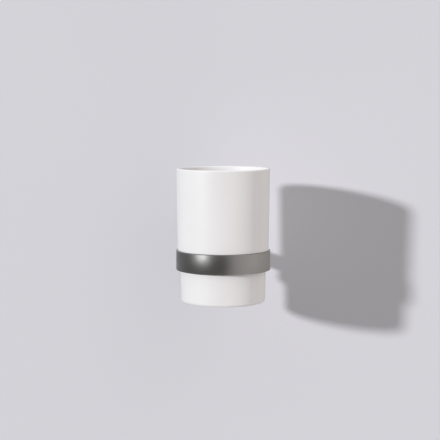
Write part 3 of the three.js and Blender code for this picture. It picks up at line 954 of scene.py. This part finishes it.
class HOLDER_OT_rosette(bpy.types.Operator):
    """Make the round rosette, with its flatted hole in front and the grub screw's hole below"""

    bl_idname = "holder.rosette"
    bl_label = "Rosette"

    def execute(self, context):
        s = context.scene.base_sizes
        outer = s.rosette_radius
        bore = outer - s.rosette_wall
        inside = s.rosette_front - s.rosette_wall
        hole, flat, hole_reach = 0.00435, 0.00375, 0.0005
        hole_edge, inside_edge, rear_edge, edge_share = 0.0002, 0.0008, 0.0003, 0.3
        profile = rounded([
            (hole, inside, hole_edge),
            (bore, inside, inside_edge),
            (bore, s.rosette_back, rear_edge),
            (outer, s.rosette_back, rear_edge),
            (outer, s.rosette_front, s.rosette_edge),
            (hole, s.rosette_front, hole_edge),
        ], closed=True)
        angles = angles_with(160, corners=flat_corners(hole, flat))
        across, height = rows_of(profile)
        near_hole = across < hole + hole_reach
        radius = np.where(near_hole, flatted(angles, hole, flat) + across - hole, across)

        def edge(tree, centred):
            """Distance from the corner where face and side would meet, less a part of its rounding."""
            axes = split(tree, centred)
            short = math_node(tree, "SUBTRACT", outer, distance(tree, axes[0], axes[1]))
            low = math_node(tree, "SUBTRACT", s.rosette_front, axes[2])
            return math_node(tree, "SUBTRACT", distance(tree, short, low), s.rosette_edge * edge_share)

        material = gunmetal_material("gunmetal_rosette", context.scene.holder_finishes, edge, turn=LEVEL_TO_Z)
        made = piece("rosette_cup", "rosette", "holder", material,
                     level(lathed(radius, height, angles, closed=True)))
        grub_hole, mouth, clear = 0.0018, 0.0021, 0.001
        mouth_start, mouth_end = outer - 0.0002, outer + 0.0001
        below = drill([(0.0, bore - clear), (grub_hole, bore - clear), (grub_hole, mouth_start),
                       (mouth, mouth_end), (mouth, outer + clear), (0.0, outer + clear)])
        cut(made, hanging(below, grub_depth(s)))
        return {"FINISHED"}


class HOLDER_OT_base(bpy.types.Operator):
    """Make the cast base, with pockets for the screw heads, two slots and the grub screw's dimple"""

    bl_idname = "holder.base"
    bl_label = "Mounting base"

    def execute(self, context):
        s = context.scene.base_sizes
        finishes = context.scene.holder_finishes
        back_edge, front_edge, clear = 0.0003, 0.0005, 0.001
        profile = rounded([(0.0, 0.0), (s.base_radius, 0.0, back_edge),
                           (s.base_radius, s.base_front, front_edge), (0.0, s.base_front)])
        material = grained_material(
            "cast_zinc", (finishes.zinc, finishes.zinc_shade), metallic=1.0, satin=(0.48, 0.56),
            grain=1500.0, depth=0.000012, cells=0.35, blotch=160.0)
        made = piece("base_casting", "mounting_base", "holder", material,
                     level(turned(profile, count=128)))

        def pocket(radius, side):
            """A round pocket with a bevelled mouth."""
            floor, mouth, end = s.base_floor, s.base_front, s.base_front + clear
            bevel, below, above = 0.0005, 0.0003, 0.0002
            wide = radius + bevel
            return level(drill([(0.0, floor), (radius, floor), (radius, mouth - below), (wide, mouth + above),
                                (wide, end), (0.0, end)], count=79), side)

        def slot(turn, side):
            """A slot right through the floor; the turn of a quarter stands it upright."""
            half_width, end = 0.0023, 0.007
            angles = angles_with(96) + CUTTER_TURN
            outline = slotted(angles - turn, s.slot_travel / 2, half_width)[None]
            radius = np.concatenate([0.0 * outline, outline, outline, 0.0 * outline])
            return level(lathed(radius, column(-clear, -clear, end, end), angles), side)

        middle_pocket, screw_pocket, screw = 0.0057, 0.0052, s.screw_offset
        tip, tip_radius, rim, rim_radius, end = 0.0179, 0.0007, 0.019, 0.0018, 0.0219
        dimple = drill([(0.0, tip), (tip_radius, tip), (rim_radius, rim), (rim_radius, end), (0.0, end)])
        cut(made, pocket(middle_pocket, 0.0), pocket(screw_pocket, -screw), pocket(screw_pocket, screw),
            slot(0.0, -screw), slot(np.pi / 2, screw), hanging(dimple, grub_depth(s)))
        return {"FINISHED"}


class HOLDER_OT_machine_screws(bpy.types.Operator):
    """Make the screws of the ring and the post, and the grub screw"""

    bl_idname = "holder.machine_screws"
    bl_label = "Machine screws"

    def execute(self, context):
        steel = steel_material(context.scene.holder_finishes)
        screws = {
            "ring_screw": level(ring_screw_shape()),
            "post_screw": level(post_screw_shape()),
            "grub_screw": hanging(grub_screw_shape(), grub_depth(context.scene.base_sizes)),
        }
        for node, shape in screws.items():
            piece(f"{node}_thread", node, "holder", steel, shape)
        return {"FINISHED"}


class HOLDER_OT_washers(bpy.types.Operator):
    """Make the post's toothed washer and the two plain washers of the wall screws"""

    bl_idname = "holder.washers"
    bl_label = "Washers"

    def execute(self, context):
        steel = steel_material(context.scene.holder_finishes)
        teeth, outer, inner, root = 12, 0.00498, 0.0028, 0.0042
        middle, half_thick, lift, steep = 0.007, 0.00025, 0.00014, 1.6
        angles = angles_with(16 * teeth)
        tip = root + (outer - root) * np.clip(0.5 + steep * np.cos(teeth * angles), 0.0, 1.0)
        outwards = column(0.0, 0.0, 0.5, 1.0, 1.0, 0.5)
        face = column(1.0, -1.0, -1.0, -1.0, 1.0, 1.0)
        radius = inner + outwards * (tip[None] - inner)
        twist = lift * outwards**2 * np.sin(teeth * angles)
        toothed = lathed(radius, middle + face * half_thick + twist, angles, closed=True)
        piece("post_washer_teeth", "post_washer", "holder", steel, level(toothed))

        bore, rim, low, high = 0.0023, 0.00448, 0.0025, 0.0033
        bore_edge, low_edge, high_edge = 0.0001, 0.00015, 0.0002
        profile = rounded([(bore, low, bore_edge), (rim, low, low_edge), (rim, high, high_edge),
                           (bore, high, bore_edge)], closed=True)
        disc = turned(profile, count=72, closed=True)
        for name, side in pair(context.scene.base_sizes.screw_offset):
            node = f"wall_washer_{name}"
            piece(f"{node}_disc", node, "holder", steel, level(disc, side))
        return {"FINISHED"}


class HOLDER_OT_wall_screws(bpy.types.Operator):
    """Make the two pan-head screws that hold the base to the wall"""

    bl_idname = "holder.wall_screws"
    bl_label = "Wall screws"

    def execute(self, context):
        s = context.scene.base_sizes
        steel = steel_material(context.scene.holder_finishes)
        screw = wall_screw_shape(s.screw_tip)
        for name, side in pair(s.screw_offset):
            node = f"wall_screw_{name}"
            piece(f"{node}_thread", node, "holder", steel, level(screw, side))
        return {"FINISHED"}


class HOLDER_OT_wall_plugs(bpy.types.Operator):
    """Make the two barbed and slit wall plugs"""

    bl_idname = "holder.wall_plugs"
    bl_label = "Wall plugs"

    def execute(self, context):
        s = context.scene.base_sizes
        finishes = context.scene.holder_finishes
        bore, outer, barb, pitch, neck = 0.0023, 0.00318, 0.0004, 0.005, 0.006
        barb_edge, end_edge, top_edge = 0.00012, 0.0001, 0.0002
        top = -s.plug_setback
        end = top - s.plug_length
        barbs = int((s.plug_length - neck) / pitch)
        flanks = [(radius, end + (k + along) * pitch, barb_edge) for k in range(barbs)
                  for radius, along in ((outer - barb, 0.02), (outer, 0.98))]
        profile = rounded([(bore, end, end_edge), *flanks, (outer, top, top_edge), (bore, top, top_edge)],
                          closed=True)
        material = grained_material(
            "plug_nylon", (finishes.nylon, finishes.nylon_shade), metallic=0.0, satin=(0.45, 0.6),
            grain=1600.0, depth=0.000015, cells=0.25, blotch=140.0)
        sleeve = turned(profile, count=72, closed=True)
        wide, half, clear = 0.005, 0.0004, 0.001
        corners = np.array([(x, y, z) for z in (end - clear, top - neck) for x, y in
                            ((-wide, -half), (wide, -half), (wide, half), (-wide, half))])
        faces = np.array([(3, 2, 1, 0), (4, 5, 6, 7), (0, 1, 5, 4), (1, 2, 6, 5), (2, 3, 7, 6), (3, 0, 4, 7)])
        for name, side in pair(s.screw_offset):
            node = f"wall_plug_{name}"
            made = piece(f"{node}_sleeve", node, "holder", material, level(sleeve, side))
            cut(made, level((corners, faces), side))
        return {"FINISHED"}


class HOLDER_OT_stage(bpy.types.Operator):
    """Make the plain wall and floor, the studio light and the camera"""

    bl_idname = "holder.stage"
    bl_label = "Stage"

    def execute(self, context):
        scene = context.scene
        s = scene.holder_stage
        angles = angles_with(96)
        wall_radii = column(3.0, 1.0, 0.3, 0.08, 0.0205)
        floor_radii = column(4.0, 2.0, 0.8, 0.2, 0.0)
        self.backdrop("stage_wall", level(lathed(wall_radii, column(-s.wall_gap), angles)), s.wall)
        self.backdrop("stage_floor", lathed(floor_radii, column(-s.floor_depth), angles), s.floor)

        self.lamp("key_light", s, s.key_strength, s.key_size, s.key_side).visible_glossy = False
        self.lamp("gloss_light", s, s.gloss_strength, s.gloss_size, s.gloss_side).visible_diffuse = False
        self.surroundings(scene, s)

        camera = bpy.data.cameras.new("photo_camera")
        camera.lens = s.lens
        camera.sensor_width = 36.0
        viewer = linked("photo_camera", camera)
        viewer.location = (s.camera_side, -s.camera_distance, s.camera_height)
        viewer.rotation_euler = (math.pi / 2 - s.camera_pitch, 0.0, 0.0)
        scene.camera = viewer
        scene.view_settings.view_transform = "Standard"
        return {"FINISHED"}

    def backdrop(self, name, shape, rgb):
        """A plain surface that isn't part of the object and sends no light back to it."""
        made = surface(name, shape)
        made.data.materials.append(backdrop_material(name, rgb))
        made.visible_diffuse = False
        made.visible_glossy = False

    def lamp(self, name, s, strength, size, side):
        """A far lamp a little above the ring, turned this far to the left of straight in front."""
        light = bpy.data.lights.new(name, "SUN")
        light.energy = strength
        light.color = s.lamp_tint
        light.angle = size
        made = linked(name, light)
        made.rotation_euler = (s.lamp_tilt, 0.0, -side)
        return made

    def surroundings(self, scene, s):
        """Soft light from all round: dim in front and on the left, brighter and slightly warm on the right.
        It is strongest level with the object, and more is added from high up and from straight below. The
        ramp goes once round, from straight behind by the left. The camera itself sees one pale tone."""
        world = bpy.data.worlds.new("soft_studio")
        world.use_nodes = True
        tree = world.node_tree
        axes = split(tree, add(tree, "ShaderNodeTexCoord").outputs["Generated"])
        bearing = math_node(tree, "ARCTAN2", axes[0], math_node(tree, "MULTIPLY", axes[1], -1.0))
        turn = add(tree, "ShaderNodeMapRange", {"Value": bearing, "From Min": -math.pi, "From Max": math.pi})
        ramp = add(tree, "ShaderNodeValToRGB", {0: turn.outputs["Result"]})
        ramp.color_ramp.interpolation = "EASE"
        warm = np.array([1.0, 0.945, 0.915])
        dim = np.array([1.0, 0.98, 0.965])
        cool = np.array([0.98, 0.98, 1.03])
        stops = [(0.0, 0.8 * cool), (0.15, 0.3 * cool), (0.26, 0.14 * dim), (0.42, 0.09 * dim),
                 (0.5, 0.05 * dim), (0.59, 0.69 * warm), (0.71, 0.83 * warm), (0.82, 0.7 * warm),
                 (0.94, 0.46 * warm), (1.0, 0.8 * cool)]
        elements = ramp.color_ramp.elements
        for _ in stops[2:]:
            elements.new(0.5)
        for element, (position, rgb) in zip(elements, stops):
            element.position = position
            element.color = opaque(rgb)
        steepness = math_node(tree, "ABSOLUTE", axes[2])
        band = ranged(tree, steepness, low=0.1, high=0.6, to_low=1.0, to_high=0.76)
        sides = add(tree, "ShaderNodeVectorMath", {0: ramp.outputs[0], "Scale": band}, operation="SCALE")
        high = ranged(tree, axes[2], low=0.25, high=0.75, to_low=0.0, to_high=s.overhead)
        low = ranged(tree, axes[2], low=-0.8, high=-0.5, to_low=s.bounce, to_high=0.0)
        added = math_node(tree, "ADD", high, low)
        light = add(tree, "ShaderNodeVectorMath", {0: sides.outputs[0], 1: added}, operation="ADD")
        seen = add(tree, "ShaderNodeLightPath").outputs["Is Camera Ray"]
        tone = mixed(tree, seen, light.outputs[0], opaque(s.beyond))
        tree.links.new(tone, tree.nodes["Background"].inputs["Color"])
        scene.world = world


OPERATORS = (
    HOLDER_OT_tumbler,
    HOLDER_OT_ring,
    HOLDER_OT_insert,
    HOLDER_OT_post,
    HOLDER_OT_rosette,
    HOLDER_OT_base,
    HOLDER_OT_machine_screws,
    HOLDER_OT_washers,
    HOLDER_OT_wall_screws,
    HOLDER_OT_wall_plugs,
    HOLDER_OT_stage,
)


class HOLDER_PT_panel(bpy.types.Panel):
    """Lists the pieces and their settings"""

    bl_idname = "HOLDER_PT_panel"
    bl_label = "Tumbler holder"
    bl_space_type = "VIEW_3D"
    bl_region_type = "UI"
    bl_category = "Holder"

    def draw(self, context):
        for operator in OPERATORS:
            self.layout.operator(operator.bl_idname)
        for settings in SETTINGS:
            group = getattr(context.scene, settings)
            box = self.layout.box()
            box.label(text=settings.replace("_", " ").capitalize())
            for name in group.__annotations__:
                box.prop(group, name)


SETTINGS = {
    "tumbler_sizes": TumblerSizes,
    "ring_sizes": RingSizes,
    "base_sizes": BaseSizes,
    "holder_finishes": Finishes,
    "holder_stage": StageSettings,
}


def register():
    """Adds the settings, the operators and the panel."""
    for name, group in SETTINGS.items():
        bpy.utils.register_class(group)
        setattr(bpy.types.Scene, name, PointerProperty(type=group))
    for cls in (*OPERATORS, HOLDER_PT_panel):
        bpy.utils.register_class(cls)


def unregister():
    """Takes them away again."""
    for cls in (HOLDER_PT_panel, *reversed(OPERATORS)):
        bpy.utils.unregister_class(cls)
    for name, group in reversed(SETTINGS.items()):
        delattr(bpy.types.Scene, name)
        bpy.utils.unregister_class(group)


def main():
    register()
    bpy.ops.holder.tumbler()
    bpy.ops.holder.ring()
    bpy.ops.holder.insert()
    bpy.ops.holder.post()
    bpy.ops.holder.rosette()
    bpy.ops.holder.base()
    bpy.ops.holder.machine_screws()
    bpy.ops.holder.washers()
    bpy.ops.holder.wall_screws()
    bpy.ops.holder.wall_plugs()
    bpy.ops.holder.stage()


if __name__ == "__main__":
    main()
